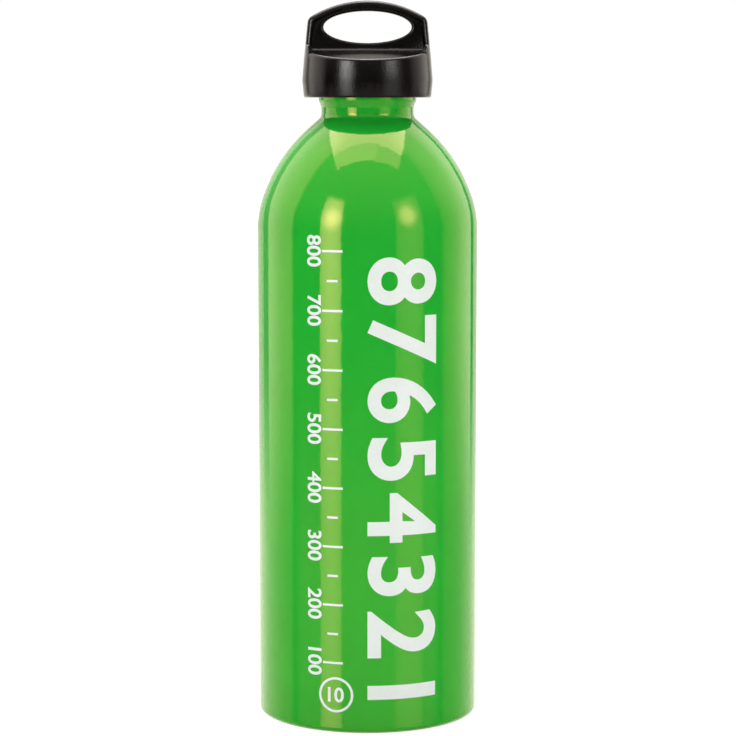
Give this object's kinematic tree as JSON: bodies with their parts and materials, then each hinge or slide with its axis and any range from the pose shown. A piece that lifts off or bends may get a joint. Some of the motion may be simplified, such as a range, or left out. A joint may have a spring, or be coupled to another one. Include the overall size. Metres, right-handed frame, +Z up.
{
  "type": "camping fuel bottle",
  "caption": "Drawn aluminium liquid-fuel bottle with a domed shoulder and a black push-and-turn screw cap with a loop handle.",
  "frame": {"origin": "centre of the standing ring, on the ground", "axes": "+Z up along the bottle's axis, X along the loop handle's width, front facing -Y"},
  "size_m": [0.08, 0.08, 0.2601],
  "materials": {
    "green_lacquer": "gloss green lacquer on drawn aluminium",
    "cap_black": "satin black moulded nylon",
    "plug_grey": "matt dark grey moulded acetal",
    "spring_steel": "drawn stainless spring wire",
    "seal_rubber": "black fuel-proof rubber"
  },
  "bodies": {
    "bottle": {"bottle_body": "green_lacquer"},
    "seal": {"seal_ring": "seal_rubber"},
    "plug": {"plug": "plug_grey"},
    "spring": {"return_spring": "spring_steel"},
    "shell": {"cap_shell": "cap_black", "retaining_ring": "cap_black"}
  },
  "joints": [
    {"name": "cap_rise", "type": "slide", "parent": "bottle", "child": "seal", "axis": [0, 0, 1], "range_m": [0, 0.0201]},
    {"name": "cap_turn", "type": "hinge", "parent": "seal", "child": "plug", "pos_m": [0, 0, 0.23], "axis": [0, 0, 1], "range_deg": [0, 1800]},
    {"name": "shell_spin", "type": "hinge", "parent": "plug", "child": "spring", "pos_m": [0, 0, 0.235], "axis": [0, 0, 1], "continuous": true},
    {"name": "shell_push", "type": "slide", "parent": "spring", "child": "shell", "axis": [0, 0, 1], "range_m": [-0.0018, 0], "stiffness_N_per_m": 1650, "springref_m": 0.005, "deforming": ["return_spring"]}
  ],
  "couplings": [
    {"joint": "cap_rise", "follows": "cap_turn", "m_per_rad": 0.00063662}
  ]
}
